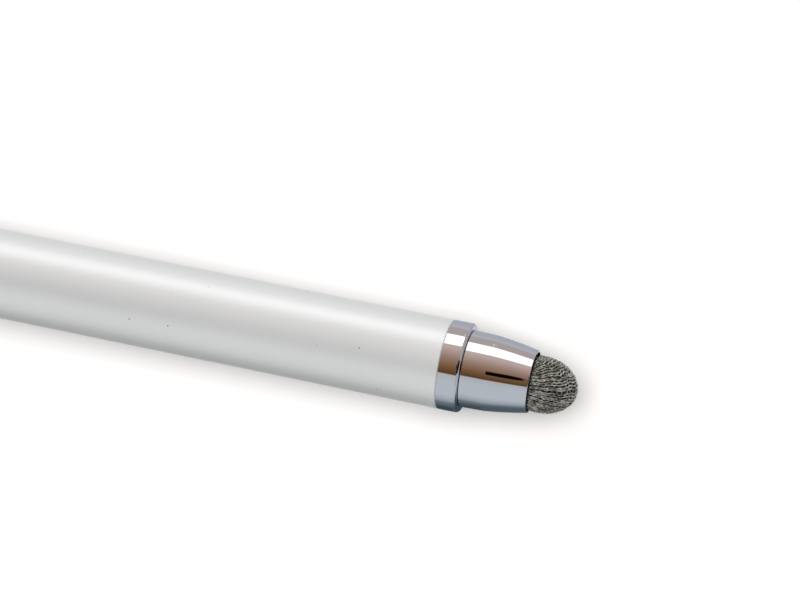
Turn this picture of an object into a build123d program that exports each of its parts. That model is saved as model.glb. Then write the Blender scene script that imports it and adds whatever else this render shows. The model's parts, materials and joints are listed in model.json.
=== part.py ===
from build123d import *
import math
import os

# Stylus pen: a knit touch tip in a chrome nose at one end, a capped ballpoint at the other.
# Millimetres. The pen lies along X with the touch tip towards +X, and Z is up.
# The origin is on the pen's axis, at the barrel's touch-end face.

# Whole pen
PEN_DIAMETER = 9.0
BARREL_LENGTH = 72.0
BARREL_WALL = 0.7
CAP_WALL = 0.5
EDGE_BREAK = 0.06  # the small chamfer on turned rims

# Fits
PRESS_GAP = 0.01  # radial, between pieces pressed together
RUNNING_GAP = 0.05  # radial, between pieces that turn or slide in each other
SEAT_GAP = 0.02  # axial, between faces that bear on each other and turn

# Screw threads, drawn as rings on the male piece in a plain female bore
THREAD_DEPTH = 0.2
THREAD_RELIEF = 0.15
NOSE_PITCH = 0.5
SECTION_PITCH = 0.75
STUD_PITCH = 0.5

# Collar
COLLAR_LENGTH = 2.14
COLLAR_EDGE_LENGTH = 0.35
COLLAR_EDGE_DROP = 0.25
COLLAR_PLUG_LENGTH = 6.0
SPIGOT_LENGTH = 2.86
SPIGOT_WALL = 1.3

# Nose
NOSE_STEP = 0.63  # radial, from the pen's skin down to the nose's rear edge
NOSE_WALL = 0.62
NOSE_SHOULDER = 0.27
NOSE_EDGE_ROUND = 0.06
NOSE_BACK_LENGTH = 2.46
NOSE_BACK_DROP = 0.07
NOSE_BULGE = 0.05
MOUTH_WALL = 0.17
MOUTH_LENGTH = 1.37  # from the crimp ring to the rim
LIP_ROUND = 0.08

# Touch tip
TIP_TRAVEL = 0.8
TIP_BASE_GAP = 0.1
HOLDER_FLANGE = 0.8
HOLDER_BOSS_LENGTH = 2.0
HOLDER_NECK_LENGTH = 2.2
MESH_CLEARANCE = 0.13
MESH_THICKNESS = 0.3
MESH_STRAIGHT = 0.89
MESH_GAP = 0.05  # radial, between the mesh and the core under it
DOME_LENGTH = 3.64
CORE_WALL = 0.85
CORE_SKIRT_DROP = 0.3
CRIMP_WALL = 0.2
CRIMP_LENGTH = 0.6
CRIMP_MARGIN = 0.15
NECK_LENGTH = 1.26  # from the crimp ring to where the tip swells
FLARE_LENGTH = 0.45

# Barrel's writing end
BUSH_WALL = 0.5
BUSH_LENGTH = 10.0
CENTRE_BAND_LENGTH = 1.2
CENTRE_BAND_RECESS = 0.25

# Writing section
SHANK_LENGTH = 6.0
SEAT_LENGTH = 8.0
GRIP_LENGTH = 22.0
GRIP_BULGE = 0.25
NOZZLE_LENGTH = 2.0
NOZZLE_WALL = 0.5
NOZZLE_CLEARANCE = 0.08
O_RING_SECTION = 0.7
O_RING_PROUD = 0.06
O_RING_INSET = 4.0  # from the seat's rear edge to the middle of the ring

# Refill, a standard slim one
REFILL_DIAMETER = 2.35
REFILL_LENGTH = 67.0
REFILL_WALL = 0.35
POINT_REACH = 3.2
POINT_LENGTH = 5.2
POINT_CONE_LENGTH = 3.0
POINT_STEP = 0.03
POINT_SPIGOT_LENGTH = 3.0
POINT_LIP_WALL = 0.06
INK_CHANNEL_DIAMETER = 0.4
INK_LENGTH = 38.0
FOLLOWER_LENGTH = 3.0
BALL_DIAMETER = 0.7
BALL_CLEARANCE = 0.02
BALL_LIP = 0.18  # from the ball's middle to the rim that keeps it in
GRIP_SLEEVE_WALL = 0.5
GRIP_SLEEVE_LENGTH = 10.0
GRIP_SLIT = 0.4

# Cap
CAP_SEAM = 0.1
CAP_CLEARANCE = 0.1
CAP_END_ROOM = 10.8
CAP_PLUG_LENGTH = 6.0
LINER_WALL = 0.49
LINER_LENGTH = 12.0
LINER_INSET = 0.3
FINIAL_FLAT = 1.2
FINIAL_CROWN = 1.8
STUD_DIAMETER = 3.0
STUD_LENGTH = 5.0

# Clip
CLIP_THICKNESS = 0.7
CLIP_ROOT_WIDTH = 3.4
CLIP_TIP_WIDTH = 2.6
CLIP_LENGTH = 38.0
CLIP_STANDOFF = 0.9
CLIP_ROOT_GAP = 0.04
CLIP_TOUCH_GAP = 0.05
CLIP_DIMPLE_LENGTH = 5.0
CLIP_FLOOR_GAP = 0.02
CLIP_EDGE_ROUND = 0.15

# Radii that follow from the pen's diameter, from the skin inwards
PEN_R = PEN_DIAMETER / 2
BARREL_BORE_R = PEN_R - BARREL_WALL
NOSE_BASE_R = PEN_R - NOSE_STEP
NOSE_BORE_R = NOSE_BASE_R - NOSE_WALL
SPIGOT_R = NOSE_BORE_R - RUNNING_GAP
COLLAR_BORE_R = SPIGOT_R - SPIGOT_WALL
MOUTH_R = NOSE_BORE_R - NOSE_SHOULDER
RIM_R = MOUTH_R + MOUTH_WALL
MESH_R = MOUTH_R - MESH_CLEARANCE
CORE_R = MESH_R - MESH_THICKNESS - MESH_GAP
CORE_BORE_R = CORE_R - CORE_WALL
CORE_SKIRT_R = CORE_R - CORE_SKIRT_DROP
MESH_TAIL_R = CORE_SKIRT_R + MESH_GAP + MESH_THICKNESS
CRIMP_BORE_R = MESH_TAIL_R + PRESS_GAP
BUSH_BORE_R = BARREL_BORE_R - PRESS_GAP - BUSH_WALL
SHANK_R = BUSH_BORE_R - RUNNING_GAP
CAP_BORE_R = PEN_R - CAP_WALL
LINER_R = CAP_BORE_R - PRESS_GAP
LINER_BORE_R = LINER_R - LINER_WALL
SECTION_R = LINER_BORE_R - CAP_CLEARANCE

# Radii that follow from the refill, from its axis outwards
REFILL_R = REFILL_DIAMETER / 2
REFILL_BORE_R = REFILL_R - REFILL_WALL
POINT_R = REFILL_R - POINT_STEP
GRIP_SLEEVE_BORE_R = REFILL_R + PRESS_GAP
GRIP_SLEEVE_R = GRIP_SLEEVE_BORE_R + GRIP_SLEEVE_WALL
SECTION_BORE_R = GRIP_SLEEVE_R + PRESS_GAP
NOZZLE_BORE_R = REFILL_R + NOZZLE_CLEARANCE
NOZZLE_R = NOZZLE_BORE_R + NOZZLE_WALL
BALL_R = BALL_DIAMETER / 2
STUD_R = STUD_DIAMETER / 2
STUD_BORE_R = STUD_R + RUNNING_GAP

# Places along the touch end, from the collar to the tip
SPIGOT_END = COLLAR_LENGTH + SPIGOT_LENGTH
NOSE_BACK = COLLAR_LENGTH + SEAT_GAP
FLANGE_START = SPIGOT_END + SEAT_GAP
FLANGE_END = FLANGE_START + HOLDER_FLANGE
SHOULDER = FLANGE_END + SEAT_GAP
CORE_BASE = SHOULDER + TIP_TRAVEL + TIP_BASE_GAP
CRIMP_START = CORE_BASE + CRIMP_MARGIN
CRIMP_END = CRIMP_START + CRIMP_LENGTH
FLARE_START = CRIMP_END + NECK_LENGTH
FLARE_END = FLARE_START + FLARE_LENGTH
RIM = CRIMP_END + MOUTH_LENGTH
DOME_START = RIM + MESH_STRAIGHT

# Places along the writing end and the cap, from the barrel to the finial
BARREL_END = -BARREL_LENGTH
BAND_END = BARREL_END - CENTRE_BAND_LENGTH
SHANK_END = BARREL_END + SHANK_LENGTH
SEAT_END = BAND_END - SEAT_LENGTH
NOZZLE_END = SEAT_END - GRIP_LENGTH
SLEEVE_STOP = NOZZLE_END + NOZZLE_LENGTH
POINT_END = NOZZLE_END - POINT_REACH
BALL_MIDDLE = POINT_END + BALL_R
POINT_SHOULDER = POINT_END + POINT_LENGTH
INK_START = POINT_SHOULDER + POINT_SPIGOT_LENGTH
FOLLOWER_START = INK_START + INK_LENGTH
CAP_MOUTH = BAND_END - CAP_SEAM
PLUG_INNER_END = POINT_END - CAP_SEAM - CAP_END_ROOM
CAP_END = PLUG_INNER_END - CAP_PLUG_LENGTH
CLIP_RING_END = CAP_END - CLIP_THICKNESS

# The clip's bend, and the turn about X at which its lower corner comes down to the table
CLIP_BEND_X = CAP_END - CLIP_THICKNESS / 2
CLIP_BEND_R = PEN_R + CLIP_STANDOFF + CLIP_THICKNESS / 2
CLIP_OUTER_R = CLIP_BEND_R + CLIP_THICKNESS / 2
CLIP_CORNER_REACH = math.hypot(CLIP_OUTER_R, CLIP_ROOT_WIDTH / 2)
CLIP_CORNER_DIP = math.asin((PEN_R - CLIP_FLOOR_GAP) / CLIP_CORNER_REACH)
CLIP_CORNER_LEAD = math.atan2(CLIP_ROOT_WIDTH / 2, CLIP_OUTER_R)
CLIP_TURN = 90 + math.degrees(CLIP_CORNER_DIP - CLIP_CORNER_LEAD)


def polyline(points):
    """Straight edges through (x, r) points."""
    return [Line(a, b) for a, b in zip(points, points[1:])]


def turned(*edges):
    """Solid of revolution about the pen's axis, from an (x, r) outline that closes itself."""
    return revolve(make_face(edges), axis=Axis.X)


def turned_points(points):
    """Solid of revolution from (x, r) corners."""
    return turned(*polyline(points + points[:1]))


def quarter_ellipse(middle, length, height, start):
    """Quarter of an ellipse about an (x, r) middle, from the start angle in degrees."""
    return EllipticalCenterArc(middle, length, height, start_angle=start, arc_size=90)


def bowed(start, end, bulge):
    """Shallow arc between two (x, r) points that stands out from their chord by the bulge."""
    run = Vector(*end) - Vector(*start)
    outward = Vector(-run.Y, run.X).normalized()
    return ThreePointArc(start, Vector(*start) + run / 2 + outward * bulge, end)


def ring(low, high, outer, inner):
    """Tube along X with its outer rims broken."""
    points = [
        (low, inner),
        (low, outer - EDGE_BREAK),
        (low + EDGE_BREAK, outer),
        (high - EDGE_BREAK, outer),
        (high, outer - EDGE_BREAK),
        (high, inner),
    ]
    return turned_points(points)


def rod(low, high, radius):
    """Plain cylinder along X."""
    return Pos((low + high) / 2) * Rot(0, 90, 0) * Cylinder(radius, high - low)


def thread_rings(low, high, crest, pitch):
    """(x, r) corners of the thread rings between two places, from low x to high x."""
    root = crest - THREAD_DEPTH
    usable = high - low - 2 * THREAD_RELIEF
    count = int(usable / pitch)
    first = (low + high - count * pitch) / 2
    points = [(low, root)]
    for turn in range(count):
        points.append((first + turn * pitch, root))
        points.append((first + (turn + 0.5) * pitch, crest))
    points.append((first + count * pitch, root))
    points.append((high, root))
    return points


def make_barrel():
    return ring(BARREL_END, 0, PEN_R, BARREL_BORE_R)


def make_collar():
    """Flush ring, with a plug pressed in the barrel behind it and a threaded spigot before it."""
    plug_r = BARREL_BORE_R - PRESS_GAP
    edge_start = COLLAR_LENGTH - COLLAR_EDGE_LENGTH
    edge_r = PEN_R - COLLAR_EDGE_DROP
    skin = [
        (-COLLAR_PLUG_LENGTH, COLLAR_BORE_R),
        (-COLLAR_PLUG_LENGTH, plug_r - EDGE_BREAK),
        (-COLLAR_PLUG_LENGTH + EDGE_BREAK, plug_r),
        (0, plug_r),
        (0, PEN_R - EDGE_BREAK),
        (EDGE_BREAK, PEN_R),
        (edge_start, PEN_R),
    ]
    spigot = [(COLLAR_LENGTH, edge_r)]
    spigot += thread_rings(COLLAR_LENGTH, SPIGOT_END, SPIGOT_R, NOSE_PITCH)
    spigot += [(SPIGOT_END, COLLAR_BORE_R), skin[0]]
    edge = quarter_ellipse((edge_start, edge_r), COLLAR_EDGE_LENGTH, COLLAR_EDGE_DROP, 0)
    return turned(*polyline(skin), edge, *polyline(spigot))


def make_nose():
    """Union nut: threaded bore behind, a shoulder that holds the tip, and the tapered mouth."""
    kink = (NOSE_BACK + NOSE_BACK_LENGTH, NOSE_BASE_R - NOSE_BACK_DROP)
    lip_start = (RIM - LIP_ROUND, RIM_R)
    rear_middle = (NOSE_BACK + NOSE_EDGE_ROUND, NOSE_BASE_R - NOSE_EDGE_ROUND)
    rear_edge = quarter_ellipse(rear_middle, NOSE_EDGE_ROUND, NOSE_EDGE_ROUND, 90)
    back = Line((NOSE_BACK + NOSE_EDGE_ROUND, NOSE_BASE_R), kink)
    taper = bowed(lip_start, kink, -NOSE_BULGE)
    lip = quarter_ellipse((RIM - LIP_ROUND, RIM_R - LIP_ROUND), LIP_ROUND, LIP_ROUND, 0)
    inside = [
        (RIM, RIM_R - LIP_ROUND),
        (RIM, MOUTH_R),
        (SHOULDER, MOUTH_R),
        (SHOULDER, NOSE_BORE_R),
        (NOSE_BACK, NOSE_BORE_R),
        (NOSE_BACK, NOSE_BASE_R - NOSE_EDGE_ROUND),
    ]
    return turned(rear_edge, back, taper, lip, *polyline(inside))


def make_tip_holder():
    """Solid core: a boss in the collar, a flange under the nose's shoulder, a neck for the tip."""
    boss_r = COLLAR_BORE_R - RUNNING_GAP
    flange_r = NOSE_BORE_R - RUNNING_GAP
    neck_r = CORE_BORE_R - RUNNING_GAP
    points = [
        (FLANGE_START - HOLDER_BOSS_LENGTH, 0),
        (FLANGE_START - HOLDER_BOSS_LENGTH, boss_r - EDGE_BREAK),
        (FLANGE_START - HOLDER_BOSS_LENGTH + EDGE_BREAK, boss_r),
        (FLANGE_START, boss_r),
        (FLANGE_START, flange_r),
        (FLANGE_END, flange_r),
        (FLANGE_END, neck_r),
        (FLANGE_END + HOLDER_NECK_LENGTH - EDGE_BREAK, neck_r),
        (FLANGE_END + HOLDER_NECK_LENGTH, neck_r - EDGE_BREAK),
        (FLANGE_END + HOLDER_NECK_LENGTH, 0),
    ]
    return turned_points(points)


def make_tip_core():
    """Hollow soft dome, with a skirt that slides on the holder's neck."""
    length = DOME_LENGTH - MESH_THICKNESS - MESH_GAP
    skin = [
        (CORE_BASE, CORE_BORE_R),
        (CORE_BASE, CORE_SKIRT_R),
        (FLARE_START, CORE_SKIRT_R),
        (FLARE_END, CORE_R),
        (DOME_START, CORE_R),
    ]
    dome = quarter_ellipse((DOME_START, 0), length, CORE_R, 0)
    hollow = quarter_ellipse((DOME_START, 0), length - CORE_WALL, CORE_BORE_R, 0)
    crown = Line((DOME_START + length - CORE_WALL, 0), (DOME_START + length, 0))
    bore = Line((DOME_START, CORE_BORE_R), (CORE_BASE, CORE_BORE_R))
    return turned(*polyline(skin), dome, crown, hollow, bore)


def make_mesh_tip():
    """Knit sheet as a plain shell: the dome, and the tail gathered on the core's skirt."""
    inner_r = MESH_R - MESH_THICKNESS
    inner_length = DOME_LENGTH - MESH_THICKNESS
    tail_inner_r = MESH_TAIL_R - MESH_THICKNESS
    skin = [
        (CORE_BASE, tail_inner_r),
        (CORE_BASE, MESH_TAIL_R),
        (FLARE_START, MESH_TAIL_R),
        (FLARE_END, MESH_R),
        (DOME_START, MESH_R),
    ]
    inside = [
        (DOME_START, inner_r),
        (FLARE_END, inner_r),
        (FLARE_START, tail_inner_r),
        (CORE_BASE, tail_inner_r),
    ]
    dome = quarter_ellipse((DOME_START, 0), DOME_LENGTH, MESH_R, 0)
    hollow = quarter_ellipse((DOME_START, 0), inner_length, inner_r, 0)
    crown = Line((DOME_START + inner_length, 0), (DOME_START + DOME_LENGTH, 0))
    return turned(*polyline(skin), dome, crown, hollow, *polyline(inside))


def make_mesh_crimp_ring():
    return ring(CRIMP_START, CRIMP_END, CRIMP_BORE_R + CRIMP_WALL, CRIMP_BORE_R)


def make_end_bush():
    return ring(BARREL_END, BARREL_END + BUSH_LENGTH, BARREL_BORE_R - PRESS_GAP, BUSH_BORE_R)


def make_centre_band():
    band_r = PEN_R - CENTRE_BAND_RECESS
    return ring(BAND_END, BARREL_END - SEAT_GAP, band_r, SHANK_R + PRESS_GAP)


def o_ring_middle():
    """(x, r) of the middle of the soft ring's section."""
    return (BAND_END - O_RING_INSET, SECTION_R + O_RING_PROUD - O_RING_SECTION / 2)


def make_section():
    """Hollow writing section: bowed grip, grooved seat for the cap, and the threaded shank."""
    ring_x, ring_r = o_ring_middle()
    groove_half = O_RING_SECTION / 2 + SEAT_GAP
    groove_r = ring_r - O_RING_SECTION / 2 - PRESS_GAP
    grip = bowed((SEAT_END, SECTION_R), (NOZZLE_END, NOZZLE_R), -GRIP_BULGE)
    seat = [
        (SEAT_END, SECTION_R),
        (ring_x - groove_half, SECTION_R),
        (ring_x - groove_half, groove_r),
        (ring_x + groove_half, groove_r),
        (ring_x + groove_half, SECTION_R),
        (BAND_END, SECTION_R),
        (BAND_END, SHANK_R),
        (BARREL_END, SHANK_R),
    ]
    seat += thread_rings(BARREL_END, SHANK_END, SHANK_R, SECTION_PITCH)
    seat += [
        (SHANK_END, SECTION_BORE_R),
        (SLEEVE_STOP, SECTION_BORE_R),
        (SLEEVE_STOP, NOZZLE_BORE_R),
        (NOZZLE_END, NOZZLE_BORE_R),
        (NOZZLE_END, NOZZLE_R),
    ]
    return turned(grip, *polyline(seat))


def make_section_o_ring():
    middle_x, middle_r = o_ring_middle()
    section = Pos(middle_x, middle_r) * Circle(O_RING_SECTION / 2)
    return revolve(section, axis=Axis.X)


def make_refill_grip():
    """Sleeve that holds the refill, slit along one side so that it springs."""
    sleeve = ring(SLEEVE_STOP, SLEEVE_STOP + GRIP_SLEEVE_LENGTH, GRIP_SLEEVE_R, GRIP_SLEEVE_BORE_R)
    middle = SLEEVE_STOP + GRIP_SLEEVE_LENGTH / 2
    slit = Box(2 * GRIP_SLEEVE_LENGTH, GRIP_SLIT, 2 * GRIP_SLEEVE_R)
    return sleeve - Pos(middle, 0, GRIP_SLEEVE_R) * slit


def make_refill_tube():
    return ring(POINT_SHOULDER, POINT_END + REFILL_LENGTH, REFILL_R, REFILL_BORE_R)


def make_refill_ink():
    return rod(INK_START, FOLLOWER_START, REFILL_BORE_R - PRESS_GAP)


def make_refill_follower():
    return rod(FOLLOWER_START, FOLLOWER_START + FOLLOWER_LENGTH, REFILL_BORE_R - PRESS_GAP)


def make_refill_point():
    """Cone with the ball's socket, a shoulder for the tube and a spigot with the ink channel."""
    socket_r = BALL_R + BALL_CLEARANCE
    lip_x = BALL_MIDDLE - BALL_LIP
    lip_r = math.sqrt(socket_r**2 - BALL_LIP**2) + POINT_LIP_WALL
    spigot_r = REFILL_BORE_R - PRESS_GAP
    points = [
        (lip_x, 0),
        (lip_x, lip_r),
        (POINT_END + POINT_CONE_LENGTH, POINT_R),
        (POINT_SHOULDER, POINT_R),
        (POINT_SHOULDER, spigot_r),
        (INK_START, spigot_r),
        (INK_START, 0),
    ]
    socket = Pos(BALL_MIDDLE) * Sphere(socket_r)
    channel = rod(BALL_MIDDLE, INK_START, INK_CHANNEL_DIAMETER / 2)
    return turned_points(points) - socket - channel


def make_writing_ball():
    return Pos(BALL_MIDDLE) * Sphere(BALL_R)


def make_cap_tube():
    return ring(CAP_END, CAP_MOUTH, PEN_R, CAP_BORE_R)


def make_cap_liner():
    mouth = CAP_MOUTH - LINER_INSET
    return ring(mouth - LINER_LENGTH, mouth, LINER_R, LINER_BORE_R)


def make_cap_plug():
    return ring(CAP_END, PLUG_INNER_END, CAP_BORE_R - PRESS_GAP, STUD_BORE_R)


def make_clip_ring():
    """Washer between the cap and the finial, with the tab that the clip's arm bends from."""
    washer = ring(CLIP_RING_END, CAP_END, PEN_R, STUD_BORE_R)
    tab_top = PEN_R + CLIP_STANDOFF - CLIP_ROOT_GAP
    tab_bottom = STUD_BORE_R + EDGE_BREAK
    tab = Box(CLIP_THICKNESS, CLIP_ROOT_WIDTH, tab_top - tab_bottom)
    tab_place = Pos(CLIP_BEND_X, 0, (tab_top + tab_bottom) / 2)
    return washer + Rot(CLIP_TURN, 0, 0) * tab_place * tab


def clip_side():
    """Side view of the clip's arm: rounded bend, straight strip and the dimple at its tip."""
    half = CLIP_THICKNESS / 2
    tip_x = CLIP_BEND_X + CLIP_LENGTH
    dimple_x = tip_x - CLIP_DIMPLE_LENGTH
    inner_r = CLIP_BEND_R - half
    touch = (tip_x - CLIP_DIMPLE_LENGTH / 2, PEN_R + CLIP_TOUCH_GAP)
    bend = ThreePointArc(
        (CLIP_BEND_X, CLIP_OUTER_R), (CLIP_BEND_X - half, CLIP_BEND_R), (CLIP_BEND_X, inner_r)
    )
    under = Line((CLIP_BEND_X, inner_r), (dimple_x, inner_r))
    dimple = ThreePointArc((dimple_x, inner_r), touch, (tip_x, inner_r))
    end = Line((tip_x, inner_r), (tip_x, CLIP_OUTER_R))
    top = Line((tip_x, CLIP_OUTER_R), (CLIP_BEND_X, CLIP_OUTER_R))
    return make_face([bend, under, dimple, end, top])


def clip_plan():
    """Top view of the clip's arm: a strip that narrows to a round tip."""
    root_x = CLIP_BEND_X - CLIP_THICKNESS
    tip_half = CLIP_TIP_WIDTH / 2
    round_x = CLIP_BEND_X + CLIP_LENGTH - tip_half
    corners = [
        (round_x, -tip_half),
        (root_x, -CLIP_ROOT_WIDTH / 2),
        (root_x, CLIP_ROOT_WIDTH / 2),
        (round_x, tip_half),
    ]
    tip = ThreePointArc((round_x, tip_half), (round_x + tip_half, 0), (round_x, -tip_half))
    return make_face([*polyline(corners), tip])


def make_clip_arm():
    """Spring strip: its side view and its top view, crossed, with the outer edge rounded."""
    side = extrude(Plane.XZ * clip_side(), CLIP_ROOT_WIDTH, both=True)
    plan = extrude(clip_plan(), CLIP_OUTER_R + CLIP_THICKNESS)
    arm = side & plan
    top = arm.faces().sort_by(Axis.Z)[-1]
    arm = fillet(top.edges(), CLIP_EDGE_ROUND)
    return Rot(CLIP_TURN, 0, 0) * arm


def make_finial():
    """Crowned end button with the stud that clamps the clip's ring on the plug."""
    crown_start = CLIP_RING_END - FINIAL_FLAT
    crown_end = crown_start - FINIAL_CROWN
    crown_radius = (PEN_R**2 + FINIAL_CROWN**2) / (2 * FINIAL_CROWN)
    crown = RadiusArc((crown_end, 0), (crown_start, PEN_R), crown_radius)
    skin = [
        (crown_start, PEN_R),
        (CLIP_RING_END - EDGE_BREAK, PEN_R),
        (CLIP_RING_END, PEN_R - EDGE_BREAK),
    ]
    skin += thread_rings(CLIP_RING_END, CLIP_RING_END + STUD_LENGTH, STUD_R, STUD_PITCH)
    skin += [(CLIP_RING_END + STUD_LENGTH, 0), (crown_end, 0)]
    return turned(crown, *polyline(skin))


PIECES = {
    "barrel": make_barrel,
    "collar": make_collar,
    "nose": make_nose,
    "tip_holder": make_tip_holder,
    "tip_core": make_tip_core,
    "mesh_tip": make_mesh_tip,
    "mesh_crimp_ring": make_mesh_crimp_ring,
    "end_bush": make_end_bush,
    "centre_band": make_centre_band,
    "section": make_section,
    "section_o_ring": make_section_o_ring,
    "refill_grip": make_refill_grip,
    "refill_tube": make_refill_tube,
    "refill_ink": make_refill_ink,
    "refill_follower": make_refill_follower,
    "refill_point": make_refill_point,
    "writing_ball": make_writing_ball,
    "cap_tube": make_cap_tube,
    "cap_liner": make_cap_liner,
    "cap_plug": make_cap_plug,
    "clip_ring": make_clip_ring,
    "clip_arm": make_clip_arm,
    "finial": make_finial,
}

os.makedirs("parts", exist_ok=True)
for name, make in PIECES.items():
    export_step(make(), f"parts/{name}.step")
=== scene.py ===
import json
import math
from typing import NamedTuple

import bpy
import numpy as np
from mathutils import Matrix, Vector


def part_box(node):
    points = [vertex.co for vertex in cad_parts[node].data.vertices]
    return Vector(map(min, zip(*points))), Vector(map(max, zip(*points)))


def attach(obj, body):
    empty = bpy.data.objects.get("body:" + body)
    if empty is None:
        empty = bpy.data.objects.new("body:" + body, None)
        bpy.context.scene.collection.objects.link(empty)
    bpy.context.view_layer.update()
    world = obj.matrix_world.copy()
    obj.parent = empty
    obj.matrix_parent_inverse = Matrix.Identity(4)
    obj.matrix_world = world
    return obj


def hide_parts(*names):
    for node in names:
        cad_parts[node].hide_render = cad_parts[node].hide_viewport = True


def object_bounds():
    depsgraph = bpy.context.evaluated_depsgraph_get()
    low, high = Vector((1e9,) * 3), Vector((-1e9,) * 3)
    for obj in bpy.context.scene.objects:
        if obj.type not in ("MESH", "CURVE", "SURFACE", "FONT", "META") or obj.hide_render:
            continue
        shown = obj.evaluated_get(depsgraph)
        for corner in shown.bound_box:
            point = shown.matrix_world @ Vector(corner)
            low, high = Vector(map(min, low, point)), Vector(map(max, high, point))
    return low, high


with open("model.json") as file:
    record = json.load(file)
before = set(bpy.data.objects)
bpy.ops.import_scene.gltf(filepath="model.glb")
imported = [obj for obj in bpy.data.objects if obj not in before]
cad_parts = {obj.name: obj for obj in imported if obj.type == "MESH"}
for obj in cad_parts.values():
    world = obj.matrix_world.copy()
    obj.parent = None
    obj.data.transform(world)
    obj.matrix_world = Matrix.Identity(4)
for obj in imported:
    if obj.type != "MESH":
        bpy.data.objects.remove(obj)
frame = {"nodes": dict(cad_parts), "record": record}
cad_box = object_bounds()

# Lengths named here are millimetres, and angles degrees. Blender works in metres.
MM = 0.001
FULL_TURN = 360.0

# Camera. The pen is round, so its picture fits any swing about its own axis. The shadow
# that shows along both sides of the pen says that the camera stood straight above.
FRAME_WIDTH_PX = 800
FOCAL_PX = 2972.6
SENSOR_WIDTH = 36.0
CAMERA_AZIMUTH = 15.9033
CAMERA_ELEVATION = 44.492
CAMERA_DISTANCE = 290.05
CAMERA_TARGET = (-4.79, 0.0, 7.605)
CAMERA_SWING = 43.34  # about the pen's axis
CLIP_START = 10.0
CLIP_END = 20000.0

# Stage
FLOOR_RADIUS = 3000.0
FLOOR_SIDES = 96
FLOOR_ALBEDO = (0.75, 0.75, 0.75, 1.0)
FLOOR_SEEN = (0.98, 0.955, 0.94, 1.0)  # warm in the shadow, and past white in the open
FLOOR_GLOW = (0.0, 1.0)  # what a viewer sees on top of the lit floor, near and far
FLOOR_GLOW_REACH = (150.0, 500.0)
ROOM_LIGHT = (0.31, 0.41)  # light from all round, by direction from the front to the back
ROOM_IN_METAL = 1.75  # metal sends it on brighter, in place of the soft box, which it doesn't mirror
FIRST_BOUNCE = 0.5  # a ray with fewer diffuse bounces than this has had none
WHITE = (1.0, 1.0, 1.0, 1.0)
BLACK = (0.004, 0.004, 0.004, 1.0)

# Soft box over the pen
SOFT_BOX_HEIGHT = 600.0
SOFT_BOX_LEAN = 3.7  # from straight up towards the far side
SOFT_BOX_LENGTH = 700.0
SOFT_BOX_WIDTH = 480.0
SOFT_BOX_WATTS = 3.6
SOFT_BOX_TARGET_X = 75.0

# What metal mirrors, by the angle about the pen's axis: 0 is the front, 90 is up. Polished
# metal shows it in colour, and rough surfaces show it greyed, with cards of their own.
UNDERSIDE = (0.06, 0.09, 0.11, 1.0)
SHADE = (0.25, 0.28, 0.30, 1.0)
HAZE = (0.58, 0.64, 0.70, 1.0)
SWEEP = (0.80, 0.84, 0.88, 1.0)
SWEEP_EDGE = (0.75, 0.74, 0.73, 1.0)
AMBER = (0.15, 0.075, 0.03, 1.0)
BROWN = (0.34, 0.17, 0.08, 1.0)
ROSE = (0.56, 0.365, 0.285, 1.0)
BLUSH = (0.90, 0.68, 0.61, 1.0)
DUSK = (0.71, 0.58, 0.56, 1.0)
MIST = (0.77, 0.75, 0.76, 1.0)
SKY = (0.64, 0.65, 0.71, 1.0)
EDGE_SKY = (0.52, 0.53, 0.59, 1.0)
PALE = (0.70, 0.72, 0.78, 1.0)
STRIP = (2.15, 2.15, 2.15, 1.0)
GLINT = (1.2, 1.2, 1.22, 1.0)
DUSKY = (0.14, 0.165, 0.185, 1.0)
DIM = (0.1, 0.1, 0.1, 1.0)
SATIN_SATURATION = 0.3  # share of the bands' colour that rough surfaces pick up
LOWEST_BAND = -90.0
STUDIO_BANDS = (
    (LOWEST_BAND, UNDERSIDE),
    (-50.0, UNDERSIDE),
    (-24.0, SHADE),
    (-10.0, HAZE),
    (8.0, SWEEP),
    (46.0, SWEEP),
    (65.3, SWEEP_EDGE),
    (66.7, AMBER),
    (86.0, BROWN),
    (110.0, ROSE),
    (136.0, BLUSH),
    (180.0, DUSK),
    (198.0, DUSK),
    (206.0, MIST),
    (222.0, SKY),
    (256.0, EDGE_SKY),
    (262.0, PALE),
    (LOWEST_BAND + FULL_TURN, PALE),
)

# The studio's end, by the direction along the pen: dull at the back, pale in front
END_TONE = (0.58, 0.54, 0.53, 1.0)
END_TONE_X = (0.32, 0.50)
END_TONE_SHARE = 0.65
END_SWEEP_X = (0.72, 0.90)
END_FRONT = (22.0, 34.0)  # angles between which the front gives way to the back
REAR_END_X = (-0.97, -0.72)  # and one even tone behind the pen's other end


class Card(NamedTuple):
    """A bright or dark card in the studio, as its mirror image shows it on the pen."""

    angle: float  # its middle, about the pen's axis
    half_angle: float
    x: tuple  # first and last direction along the pen
    colour: tuple
    climb: float = 0.0  # how far the middle rises from the card's centre to its last end
    taper: float = 0.0  # how much half_angle loses from the centre to the last end
    roundness: float = 6.0  # 2 is an ellipse, and a high number is a rectangle
    softness: float = 0.2


STRIP_LIGHT = Card(158.0, 16.5, (-0.62, 0.30), STRIP, softness=0.6)
STRIP_TAB = Card(177.0, 12.0, (-0.022, 0.006), GLINT, roundness=2.0, softness=0.8)
SLIT = Card(88.0, 5.9, (0.036, 0.230), BLACK, climb=1.2, taper=-0.5, roundness=3.0)
EDGE_NOTCH = Card(89.0, 20.0, (0.27, 0.95), BLACK)  # in the collar's front rounding
UNDER_LIFT = Card(-58.0, 36.0, (-0.17, 0.15), DUSKY, roundness=2.0, softness=1.0)
CARDS = (STRIP_LIGHT, STRIP_TAB, SLIT, EDGE_NOTCH, UNDER_LIFT)

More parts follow.
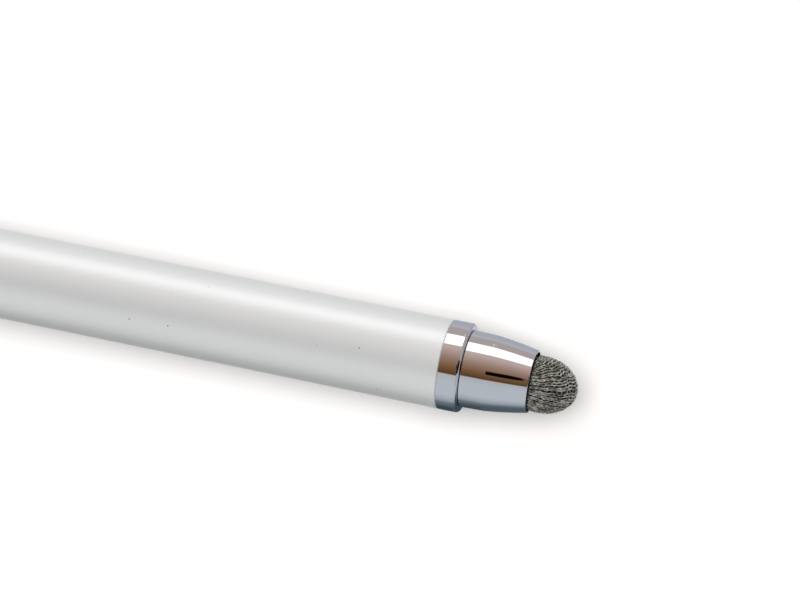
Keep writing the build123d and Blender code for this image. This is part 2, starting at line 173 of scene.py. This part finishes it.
# Cards that only rough surfaces show, past both ends of the pen
PAST_ENDS = (-2.0, 2.0)
SATIN_SHADE = Card(78.0, 26.0, PAST_ENDS, DIM, roundness=2.0, softness=1.0)
SATIN_SHEEN = Card(200.0, 25.0, PAST_ENDS, WHITE, roundness=2.0, softness=1.0)
SATIN_CARDS = (SATIN_SHADE, SATIN_SHEEN)

# Pearl paint. The scale of a noise or of cells counts repeats in a millimetre.
PAINT_DARK = (0.675, 0.685, 0.68, 1.0)
PAINT_LIGHT = (0.715, 0.725, 0.72, 1.0)
PAINT_DRIFT_SCALE = 0.06
PAINT_ROUGHNESS = (0.42, 0.48)
FLAKE_SCALE = 9.0
FLAKE_DEPTH = 0.004
SPECK = (0.2, 0.19, 0.17, 1.0)
SPECK_SCALE = 0.6
SPECK_REACH = 0.05  # share of a cell
SPECK_PICK = 0.45  # cells with a higher draw have a speck

# Chrome
CHROME_DARK = (0.51, 0.53, 0.56, 1.0)
CHROME_LIGHT = (0.55, 0.57, 0.60, 1.0)
CHROME_HAZE_SCALE = 0.8
CHROME_ROUGHNESS = (0.0, 0.003)  # smooth enough to be a true mirror all over
POLISH_STRETCH = (14.0, 0.5, 0.5)
POLISH_DEPTH = 0.0006

# Lines that a cutting tool leaves round the pen's axis
TOOL_STRETCH = (22.0, 0.4, 0.4)
TOOL_DEPTH = 0.006
CLOUD_SCALE = 0.5  # slow change of tone in moulded pieces

# Yarn
YARN_DULL = (0.14, 0.14, 0.12, 1.0)
YARN_BRIGHT = (0.75, 0.735, 0.66, 1.0)
YARN_ROUGHNESS = (0.34, 0.18)  # dull and bright
TARNISH_SCALE = 1.9
TARNISH_RANGE = (0.33, 0.67)
TWIST_SCALE = 2.0
TWIST_DISTORTION = 1.5
STRAND_SHADE = 0.18  # share of painted shade, in black, between the filaments
STRAND_DEPTH = 0.008
CREVICE_SHADE_X = (8.83, 9.08)  # painted shade: the knit is painted black in the crevice up to the lip, and plain past it


class Turned(NamedTuple):
    """Look of a machined metal."""

    dark: tuple
    light: tuple
    roughness: tuple


class Moulded(NamedTuple):
    """Look of a plastic, a rubber or a fluid."""

    dark: tuple
    light: tuple
    roughness: tuple
    grain: float  # scale of the pores
    depth: float
    clear: float = 0.0  # share of light that goes through
    ior: float = 1.5


TURNED = {
    "brass": Turned((0.52, 0.36, 0.13, 1.0), (0.66, 0.48, 0.20, 1.0), (0.22, 0.38)),
    "nickel_brass": Turned((0.52, 0.49, 0.40, 1.0), (0.64, 0.61, 0.52, 1.0), (0.18, 0.32)),
    "steel": Turned((0.44, 0.44, 0.45, 1.0), (0.58, 0.58, 0.59, 1.0), (0.18, 0.30)),
    "satin_metal": Turned((0.47, 0.48, 0.50, 1.0), (0.58, 0.59, 0.61, 1.0), (0.28, 0.42)),
}
MOULDED = {
    "conductive_rubber": Moulded(
        (0.012, 0.012, 0.012, 1.0), (0.03, 0.03, 0.03, 1.0), (0.6, 0.8), grain=6.0, depth=0.01
    ),
    "black_rubber": Moulded(
        (0.015, 0.015, 0.016, 1.0), (0.03, 0.03, 0.032, 1.0), (0.45, 0.6), grain=8.0, depth=0.006
    ),
    "white_plastic": Moulded(
        (0.72, 0.72, 0.69, 1.0), (0.80, 0.80, 0.77, 1.0), (0.38, 0.5), grain=5.0, depth=0.006
    ),
    "refill_plastic": Moulded(
        (0.72, 0.76, 0.80, 1.0), (0.84, 0.87, 0.90, 1.0), (0.16, 0.26), grain=3.0, depth=0.003,
        clear=0.7
    ),
    "blue_ink": Moulded(
        (0.006, 0.012, 0.10, 1.0), (0.012, 0.025, 0.20, 1.0), (0.08, 0.16), grain=2.0, depth=0.002
    ),
    "clear_grease": Moulded(
        (0.60, 0.56, 0.38, 1.0), (0.74, 0.71, 0.56, 1.0), (0.1, 0.2), grain=2.0, depth=0.004,
        clear=0.6, ior=1.45
    ),
}

# Knit tip: a flat disc of jersey drawn over the dome and gathered in the mouth
DOME_LENGTH = 3.64
DOME_STEPS = 200
STRAIGHT_LENGTH = 0.55
FLARE_LENGTH = 0.45
NECK_DROP = 0.12  # from the dome's side down to the neck in the mouth
TAIL_DROP = 0.3  # and down to the tail under the crimp ring
WALE_SPACING = 0.66
COURSE_SPACING = 0.55
YARN_RADIUS = 0.092
YARN_GATHERED = 0.45  # share of the radius that a yarn keeps where the knit is drawn together
YARN_SIDES = 6
POINTS_PER_STITCH = 20
LOOP_LEAN = 0.9  # how far a loop's legs lean in under its head
LOOP_PINCH = 0.35  # how far the two legs of a loop draw together
LOOP_HEIGHT = 0.46
LOOP_DEPTH = 0.08
RIDGE_HEIGHT = 0.045  # how far a wale stands out of the furrow beside it
UNEVEN = ((0.10, 2.0), (0.075, 4.5), (0.03, 9.0))  # pull of the knit, and radians per length
WAVES_PER_SCALE = 7
KNIT_SEED = 7
KNIT_FACING = 72.0  # angle about the pen's axis at which the wales run along the pen
SKEW_AT_MOUTH = 0.07  # the soft tip stands askew in the mouth, towards the front
SKEW_AT_APEX = 0.2


def direction_at(azimuth, elevation):
    """Unit vector from the object towards a viewer at these angles."""
    a = math.radians(azimuth)
    e = math.radians(elevation)
    return Vector((math.sin(a) * math.cos(e), -math.cos(a) * math.cos(e), math.sin(e)))


def aimed(place, target):
    """Matrix of a camera or lamp that stands at one point and looks at another."""
    turn = (Vector(place) - Vector(target)).to_track_quat("Z", "Y")
    return Matrix.Translation(Vector(place) * MM) @ turn.to_matrix().to_4x4()


def add_object(name, data):
    made = bpy.data.objects.new(name, data)
    bpy.context.scene.collection.objects.link(made)
    return made


def make_camera():
    data = bpy.data.cameras.new("photo_camera")
    data.sensor_fit = "HORIZONTAL"
    data.sensor_width = SENSOR_WIDTH
    data.lens = FOCAL_PX / FRAME_WIDTH_PX * SENSOR_WIDTH
    data.clip_start = CLIP_START * MM
    data.clip_end = CLIP_END * MM
    camera = add_object("photo_camera", data)
    eye = Vector(CAMERA_TARGET) + CAMERA_DISTANCE * direction_at(CAMERA_AZIMUTH, CAMERA_ELEVATION)
    swing = Matrix.Rotation(-math.radians(CAMERA_SWING), 4, "X")
    camera.matrix_world = swing @ aimed(eye, CAMERA_TARGET)
    bpy.context.scene.camera = camera


def make_soft_box():
    data = bpy.data.lights.new("soft_box", "AREA")
    data.shape = "RECTANGLE"
    data.size = SOFT_BOX_LENGTH * MM
    data.size_y = SOFT_BOX_WIDTH * MM
    data.energy = SOFT_BOX_WATTS
    lamp = add_object("soft_box", data)
    lean = math.radians(SOFT_BOX_LEAN)
    target = Vector((SOFT_BOX_TARGET_X, 0.0, 0.0))
    place = target + SOFT_BOX_HEIGHT * Vector((0.0, math.sin(lean), math.cos(lean)))
    lamp.matrix_world = aimed(place, target)
    lamp.visible_glossy = False


class Graph:
    """Short ways to add and join nodes in one tree."""

    # A mix node has sockets for each kind of data. These are the colours' places among them.
    MIX_LOW = 6
    MIX_HIGH = 7
    MIX_RESULT = 2

    def __init__(self, tree):
        self.tree = tree

    def add(self, kind, **settings):
        node = self.tree.nodes.new(kind)
        for name, value in settings.items():
            setattr(node, name, value)
        return node

    def put(self, source, socket):
        """Joins a socket, or sets its value where source is a number or a colour."""
        if isinstance(source, bpy.types.NodeSocket):
            self.tree.links.new(source, socket)
        else:
            socket.default_value = source

    def math(self, operation, *values):
        node = self.add("ShaderNodeMath", operation=operation)
        for value, socket in zip(values, node.inputs):
            self.put(value, socket)
        return node.outputs[0]

    def mix(self, share, low, high):
        """Colour between two colours."""
        node = self.add("ShaderNodeMix", data_type="RGBA")
        self.put(share, node.inputs["Factor"])
        self.put(low, node.inputs[self.MIX_LOW])
        self.put(high, node.inputs[self.MIX_HIGH])
        return node.outputs[self.MIX_RESULT]

    def span(self, value, low, high, from_low=0.0, from_high=1.0):
        """Value mapped from one range to another and kept inside it."""
        node = self.add("ShaderNodeMapRange")
        self.put(value, node.inputs["Value"])
        node.inputs["From Min"].default_value = from_low
        node.inputs["From Max"].default_value = from_high
        node.inputs["To Min"].default_value = low
        node.inputs["To Max"].default_value = high
        return node.outputs["Result"]

    def place(self, stretch=(1.0, 1.0, 1.0)):
        """The point on the piece in millimetres, squeezed along each axis by stretch."""
        point = self.add("ShaderNodeTexCoord").outputs["Object"]
        scaled = self.add("ShaderNodeMapping")
        self.put(point, scaled.inputs["Vector"])
        scaled.inputs["Scale"].default_value = [s / MM for s in stretch]
        return scaled.outputs["Vector"]

    def noise(self, point, scale, detail=3.0, roughness=0.5):
        node = self.add("ShaderNodeTexNoise")
        self.put(point, node.inputs["Vector"])
        node.inputs["Scale"].default_value = scale
        node.inputs["Detail"].default_value = detail
        node.inputs["Roughness"].default_value = roughness
        return node.outputs["Fac"]

    def bump(self, height, depth):
        """Surface normal for a height that runs from 0 to 1 over the depth in millimetres."""
        node = self.add("ShaderNodeBump")
        self.put(height, node.inputs["Height"])
        node.inputs["Distance"].default_value = depth * MM
        node.inputs["Strength"].default_value = 1.0
        return node.outputs["Normal"]


def floor_material():
    """White board, lit by the lamps near the pen, that glows white far from it."""
    material = bpy.data.materials.new("floor")
    material.use_nodes = True
    material.node_tree.nodes.clear()
    graph = Graph(material.node_tree)
    path = graph.add("ShaderNodeLightPath").outputs
    seen = graph.math("MAXIMUM", path["Is Camera Ray"], path["Is Transmission Ray"])
    seen = graph.math("MAXIMUM", seen, path["Is Glossy Ray"])
    lit = graph.add("ShaderNodeBsdfDiffuse")
    graph.put(graph.mix(seen, FLOOR_ALBEDO, FLOOR_SEEN), lit.inputs["Color"])
    reach = graph.add("ShaderNodeVectorMath", operation="LENGTH")
    graph.put(graph.place(), reach.inputs[0])
    far = graph.span(reach.outputs["Value"], *FLOOR_GLOW, *FLOOR_GLOW_REACH)
    glow = graph.add("ShaderNodeEmission")
    graph.put(graph.math("MULTIPLY", seen, far), glow.inputs["Strength"])
    both = graph.add("ShaderNodeAddShader")
    graph.put(lit.outputs[0], both.inputs[0])
    graph.put(glow.outputs[0], both.inputs[1])
    out = graph.add("ShaderNodeOutputMaterial")
    graph.put(both.outputs[0], out.inputs["Surface"])
    return material


def make_floor():
    height = cad_box[0].z
    turns = [2 * math.pi * i / FLOOR_SIDES for i in range(FLOOR_SIDES)]
    reach = FLOOR_RADIUS * MM
    corners = [(reach * math.cos(t), reach * math.sin(t), height) for t in turns]
    mesh = bpy.data.meshes.new("floor")
    mesh.from_pydata(corners, [], [range(FLOOR_SIDES)])
    mesh.materials.append(floor_material())
    floor = add_object("floor", mesh)
    floor.visible_glossy = False


def band_colour(graph, angle):
    """Colour of the studio's bands by the angle about the pen's axis."""
    ramp = graph.add("ShaderNodeValToRGB")
    graph.put(graph.span(angle, 0.0, 1.0, LOWEST_BAND, LOWEST_BAND + FULL_TURN), ramp.inputs["Fac"])
    stops = ramp.color_ramp.elements
    while len(stops) < len(STUDIO_BANDS):
        stops.new(1.0)
    for stop, (degrees, colour) in zip(stops, STUDIO_BANDS):
        stop.position = (degrees - LOWEST_BAND) / FULL_TURN
        stop.color = colour
    return ramp.outputs["Color"]


def card_share(graph, card, angle, x):
    """1 inside a card and 0 outside it, by the angle and the direction along the pen."""
    along = graph.span(x, -1.0, 1.0, *card.x)
    middle = graph.math("MULTIPLY_ADD", along, card.climb, card.angle)
    half = graph.math("MULTIPLY_ADD", along, -card.taper, card.half_angle)
    off = graph.math("DIVIDE", graph.math("SUBTRACT", angle, middle), half)
    reach = [
        graph.math("POWER", graph.math("ABSOLUTE", value), card.roundness)
        for value in (along, off)
    ]
    size = graph.math("ADD", *reach)
    return graph.span(size, 1.0, 0.0, 1.0 - card.softness, 1.0)


def with_cards(graph, cards, colour, angle, x):
    """The colour with each card laid over it in turn."""
    for card in cards:
        colour = graph.mix(card_share(graph, card, angle, x), colour, card.colour)
    return colour


def studio_colour(graph, x, y, z, sharp):
    """Bands about the pen's axis and cards, by direction, clear in mirrors and grey in satin."""
    forward = graph.math("MULTIPLY", y, -1.0)
    angle = graph.math("DEGREES", graph.math("ARCTAN2", z, forward))
    angle = graph.math("WRAP", angle, LOWEST_BAND + FULL_TURN, LOWEST_BAND)
    colour = band_colour(graph, angle)
    back = graph.span(angle, 0.0, 1.0, *END_FRONT)
    front = graph.span(angle, 1.0, 0.0, *END_FRONT)
    dull = graph.math("MULTIPLY", back, graph.span(x, 0.0, END_TONE_SHARE, *END_TONE_X))
    pale = graph.math("MULTIPLY", front, graph.span(x, 0.0, 1.0, *END_SWEEP_X))
    colour = graph.mix(pale, graph.mix(dull, colour, END_TONE), SWEEP)
    colour = graph.mix(graph.span(x, 1.0, 0.0, *REAR_END_X), colour, HAZE)
    colour = with_cards(graph, CARDS, colour, angle, x)
    greyed = graph.add("ShaderNodeHueSaturation")
    graph.put(colour, greyed.inputs["Color"])
    greyed.inputs["Saturation"].default_value = SATIN_SATURATION
    satin = with_cards(graph, SATIN_CARDS, greyed.outputs["Color"], angle, x)
    return graph.mix(sharp, satin, colour)


def make_world():
    """White for the camera, the studio for metal, and a soft light for the rest."""
    world = bpy.data.worlds.new("studio")
    bpy.context.scene.world = world
    world.use_nodes = True
    graph = Graph(world.node_tree)
    path = graph.add("ShaderNodeLightPath").outputs
    mirrored = graph.math("MAXIMUM", path["Is Glossy Ray"], path["Is Transmission Ray"])
    direction = graph.add("ShaderNodeSeparateXYZ")
    graph.put(graph.add("ShaderNodeTexCoord").outputs["Generated"], direction.inputs[0])
    x, y, z = direction.outputs
    room = graph.span(y, *ROOM_LIGHT, -1.0, 1.0)
    room = graph.math("MULTIPLY", room, graph.span(mirrored, 1.0, ROOM_IN_METAL))
    plain = graph.mix(path["Is Camera Ray"], room, WHITE)
    studio = studio_colour(graph, x, y, z, path["Is Singular Ray"])
    direct = graph.math("LESS_THAN", path["Diffuse Depth"], FIRST_BOUNCE)
    seen = graph.mix(graph.math("MULTIPLY", mirrored, direct), plain, studio)
    graph.put(seen, world.node_tree.nodes["Background"].inputs["Color"])


def principled(name, metallic=0.0, **constants):
    """New material with its shader's constant values set, and the graph to add detail with."""
    material = bpy.data.materials.new(name)
    material.use_nodes = True
    shader = material.node_tree.nodes["Principled BSDF"]
    shader.inputs["Metallic"].default_value = metallic
    for socket, value in constants.items():
        shader.inputs[socket.replace("_", " ")].default_value = value
    return material, Graph(material.node_tree), shader.inputs


def pearl_white():
    """Satin pearl paint: slow colour drift, fine flake and a few dust specks."""
    material, graph, shader = principled(
        "pearl_white", metallic=0.47, Coat_Weight=1.0, Coat_IOR=1.7, Coat_Roughness=0.4,
        Sheen_Weight=0.5, Sheen_Roughness=0.4
    )
    point = graph.place()
    drift = graph.noise(point, PAINT_DRIFT_SCALE, detail=2.0)
    paint = graph.mix(drift, PAINT_DARK, PAINT_LIGHT)
    cells = graph.add("ShaderNodeTexVoronoi")
    graph.put(point, cells.inputs["Vector"])
    cells.inputs["Scale"].default_value = SPECK_SCALE
    near = graph.math("LESS_THAN", cells.outputs["Distance"], SPECK_REACH)
    picked = graph.math("GREATER_THAN", cells.outputs["Color"], SPECK_PICK)
    specks = graph.math("MULTIPLY", near, picked)
    graph.put(graph.mix(specks, paint, SPECK), shader["Base Color"])
    flake = graph.noise(point, FLAKE_SCALE, detail=2.0)
    graph.put(graph.span(flake, *PAINT_ROUGHNESS), shader["Roughness"])
    graph.put(graph.bump(flake, FLAKE_DEPTH), shader["Normal"])
    return material


def chrome():
    """Bright plating with a faint drift of tone and polishing lines round the pen."""
    material, graph, shader = principled("chrome", metallic=1.0)
    haze = graph.noise(graph.place(), CHROME_HAZE_SCALE)
    graph.put(graph.mix(haze, CHROME_DARK, CHROME_LIGHT), shader["Base Color"])
    lines = graph.noise(graph.place(POLISH_STRETCH), 1.0, detail=4.0)
    graph.put(graph.span(lines, *CHROME_ROUGHNESS), shader["Roughness"])
    graph.put(graph.bump(lines, POLISH_DEPTH), shader["Normal"])
    return material


def turned_metal(name, look):
    """Machined metal with tool lines round the pen's axis."""
    material, graph, shader = principled(name, metallic=1.0)
    lines = graph.noise(graph.place(TOOL_STRETCH), 1.0, detail=5.0, roughness=0.65)
    graph.put(graph.mix(lines, look.dark, look.light), shader["Base Color"])
    graph.put(graph.span(lines, *look.roughness), shader["Roughness"])
    graph.put(graph.bump(lines, TOOL_DEPTH), shader["Normal"])
    return material


def moulded(name, look):
    """Plastic, rubber or fluid with a fine grain."""
    material, graph, shader = principled(name, Transmission_Weight=look.clear, IOR=look.ior)
    point = graph.place()
    cloud = graph.noise(point, CLOUD_SCALE)
    graph.put(graph.mix(cloud, look.dark, look.light), shader["Base Color"])
    pores = graph.noise(point, look.grain, detail=4.0)
    graph.put(graph.span(pores, *look.roughness), shader["Roughness"])
    graph.put(graph.bump(pores, look.depth), shader["Normal"])
    return material


def knit_yarn():
    """Metallised yarn: twisted filaments along its length with painted shade between them, dull and
    bright stretches, and painted shade in the crevice at the lip.
    """
    material, graph, shader = principled("knit_mesh", metallic=0.9)
    tarnish = graph.span(graph.noise(graph.place(), TARNISH_SCALE), 0.0, 1.0, *TARNISH_RANGE)
    along = graph.add("ShaderNodeUVMap", uv_map="yarn").outputs["UV"]
    twist = graph.add("ShaderNodeTexWave", wave_type="BANDS", bands_direction="DIAGONAL")
    graph.put(along, twist.inputs["Vector"])
    twist.inputs["Scale"].default_value = TWIST_SCALE
    twist.inputs["Distortion"].default_value = TWIST_DISTORTION
    strands = twist.outputs["Fac"]
    metal = graph.mix(tarnish, YARN_DULL, YARN_BRIGHT)
    # painted shade: black in the gaps between the twisted filaments
    metal = graph.mix(graph.span(strands, STRAND_SHADE, 0.0), metal, BLACK)
    split = graph.add("ShaderNodeSeparateXYZ")
    graph.put(graph.place(), split.inputs[0])
    # painted shade: the yarn turns black in the crevice inside the lip, where shade falls
    crevice_shade = graph.span(split.outputs["X"], 1.0, 0.0, *CREVICE_SHADE_X)
    graph.put(graph.mix(crevice_shade, metal, BLACK), shader["Base Color"])
    graph.put(graph.span(tarnish, *YARN_ROUGHNESS), shader["Roughness"])
    graph.put(graph.bump(strands, STRAND_DEPTH), shader["Normal"])
    return material


def make_materials():
    """One material for each of the record's slots."""
    materials = {"pearl_white": pearl_white(), "chrome": chrome(), "knit_mesh": knit_yarn()}
    for name, look in TURNED.items():
        materials[name] = turned_metal(name, look)
    for name, look in MOULDED.items():
        materials[name] = moulded(name, look)
    return materials


def dress_cad_nodes(materials):
    for row in frame["record"]["subparts"]:
        node = frame["nodes"][row["node"]]
        node.material_slots[0].material = materials[row["material_slot"]]


class DomeLine:
    """Middle line of the knit from the apex back to the tail, by the length along it."""

    def __init__(self):
        low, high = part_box("mesh_tip")
        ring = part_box("mesh_crimp_ring")[1].x / MM
        inset = YARN_RADIUS + LOOP_DEPTH
        radius = high.y / MM - inset
        middle = high.x / MM - DOME_LENGTH
        swell = middle - STRAIGHT_LENGTH
        swing = np.linspace(0.0, math.pi / 2, DOME_STEPS)
        tail = (
            (swell, radius),
            (swell - FLARE_LENGTH, radius - NECK_DROP),
            (ring, radius - TAIL_DROP),
            (low.x / MM + YARN_RADIUS, radius - TAIL_DROP),
        )
        self.x = np.append(middle + (DOME_LENGTH - inset) * np.cos(swing), [p[0] for p in tail])
        self.r = np.append(radius * np.sin(swing), [p[1] for p in tail])
        steps = np.hypot(np.diff(self.x), np.diff(self.r))
        self.length = np.append(0.0, np.cumsum(steps))
        run_x = np.gradient(self.x, self.length)
        run_r = np.gradient(self.r, self.length)
        self.out_x = run_r / np.hypot(run_x, run_r)
        self.out_r = -run_x / np.hypot(run_x, run_r)
        self.skew_x = (ring, swell - FLARE_LENGTH, high.x / MM)

    def at(self, along):
        """x, r and the outward direction in x and r at these lengths from the apex."""
        lines = (self.x, self.r, self.out_x, self.out_r)
        return [np.interp(along, self.length, line) for line in lines]


def over_dome(line, along, across, lift):
    """Points of the flat knit drawn over the dome, their outward directions, and the gather."""
    facing = math.radians(KNIT_FACING)
    face = np.array((0.0, -math.cos(facing), math.sin(facing)))
    side = np.array((0.0, math.sin(facing), math.cos(facing)))
    turn = np.arctan2(across, along)
    spoke = np.outer(np.cos(turn), face) + np.outer(np.sin(turn), side)
    reach = np.hypot(along, across)
    x, r, out_x, out_r = line.at(reach)
    axis = np.array((1.0, 0.0, 0.0))
    outward = out_x[:, None] * axis + out_r[:, None] * spoke
    points = x[:, None] * axis + r[:, None] * spoke + lift[:, None] * outward
    points[:, 1] -= np.interp(x, line.skew_x, (0.0, SKEW_AT_MOUTH, SKEW_AT_APEX))
    gather = np.clip(r / np.maximum(reach, YARN_RADIUS), 0.0, 1.0)
    return points, outward, gather


def uneven_field(rng):
    """Smooth pull of the flat knit away from its even grid, as (along, across) shifts."""
    spread = math.sqrt(WAVES_PER_SCALE)
    waves = [
        (size / spread, rng.normal(size=2) * pace, rng.uniform(0, 2 * math.pi, 2))
        for size, pace in UNEVEN
        for _ in range(WAVES_PER_SCALE)
    ]

    def shift(along, across):
        moved = np.zeros((2, len(along)))
        for size, pace, start in waves:
            phase = pace[0] * along + pace[1] * across
            moved += size * np.sin(phase + start[:, None])
        return moved

    return shift


def course(line, row, reach, shift):
    """Centre line, outward directions and gather of one row of loops across the knit."""
    start = row * COURSE_SPACING
    half = math.sqrt(reach**2 - start**2)
    stitches = 2 * int(half / WALE_SPACING) + 1
    t = np.linspace(-math.pi * stitches, math.pi * stitches, stitches * POINTS_PER_STITCH + 1)
    unit = WALE_SPACING / (2 * math.pi)
    across = unit * (t + LOOP_LEAN * np.sin(2 * t) - LOOP_PINCH * np.sin(t))
    along = start + LOOP_HEIGHT * np.cos(t)
    lift = RIDGE_HEIGHT * np.cos(t) - LOOP_DEPTH * np.cos(2 * t)
    pull_along, pull_across = shift(along, across)
    return over_dome(line, along + pull_along, across + pull_across, lift)


def tube(points, outward, gather):
    """Rings of corners round a centre line, and the length along it at each ring."""
    run = np.gradient(points, axis=0)
    run /= np.linalg.norm(run, axis=1)[:, None]
    side = np.cross(run, outward)
    side /= np.linalg.norm(side, axis=1)[:, None]
    up = np.cross(side, run)
    turns = 2 * math.pi * np.arange(YARN_SIDES) / YARN_SIDES
    ring = np.cos(turns)[:, None, None] * up + np.sin(turns)[:, None, None] * side
    radius = YARN_RADIUS * (YARN_GATHERED + (1.0 - YARN_GATHERED) * gather)
    corners = points + radius[:, None] * ring
    steps = np.linalg.norm(np.diff(points, axis=0), axis=1)
    return corners.transpose(1, 0, 2), np.append(0.0, np.cumsum(steps))


def knit_faces(first, rings):
    """Quads between the rings of one tube, and its two end caps."""
    base = first + YARN_SIDES * np.arange(rings - 1)[:, None]
    here = np.arange(YARN_SIDES)
    after = (here + 1) % YARN_SIDES
    corners = (base + here, base + after, base + after + YARN_SIDES, base + here + YARN_SIDES)
    quads = np.stack(corners, -1).reshape(-1, 4)
    caps = [list(first + here[::-1]), list(first + YARN_SIDES * (rings - 1) + here)]
    return quads.tolist() + caps


def add_yarn_uv(mesh, lengths):
    """Lays the yarn's length in millimetres along U and the way round it along V."""
    corner_vertex = np.zeros(len(mesh.loops), dtype=np.int32)
    mesh.loops.foreach_get("vertex_index", corner_vertex)
    u = lengths[corner_vertex // YARN_SIDES]
    v = (corner_vertex % YARN_SIDES) / YARN_SIDES
    layer = mesh.uv_layers.new(name="yarn")
    layer.data.foreach_set("uv", np.stack([u, v], -1).ravel().astype(np.float32))


def knit_mesh(line):
    """All rows of loops as one mesh of closed tubes."""
    reach = line.length[-1]
    shift = uneven_field(np.random.default_rng(KNIT_SEED))
    rows = int(reach / COURSE_SPACING)
    corners, lengths, faces = [], [], []
    for row in range(-rows, rows + 1):
        rings, length = tube(*course(line, row, reach, shift))
        faces += knit_faces(YARN_SIDES * sum(len(r) for r in corners), len(rings))
        corners.append(rings)
        lengths.append(length)
    mesh = bpy.data.meshes.new("knit_tip")
    mesh.from_pydata(np.concatenate(corners).reshape(-1, 3) * MM, [], faces)
    add_yarn_uv(mesh, np.concatenate(lengths))
    mesh.polygons.foreach_set("use_smooth", [True] * len(mesh.polygons))
    return mesh


def make_knit(material):
    line = DomeLine()
    mesh = knit_mesh(line)
    mesh.materials.append(material)
    knit = add_object("knit_tip", mesh)
    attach(knit, "touch_tip")
    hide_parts("mesh_tip")


def main():
    bpy.context.scene.view_settings.view_transform = "Standard"
    make_camera()
    make_world()
    make_soft_box()
    make_floor()
    materials = make_materials()
    dress_cad_nodes(materials)
    make_knit(materials["knit_mesh"])


main()
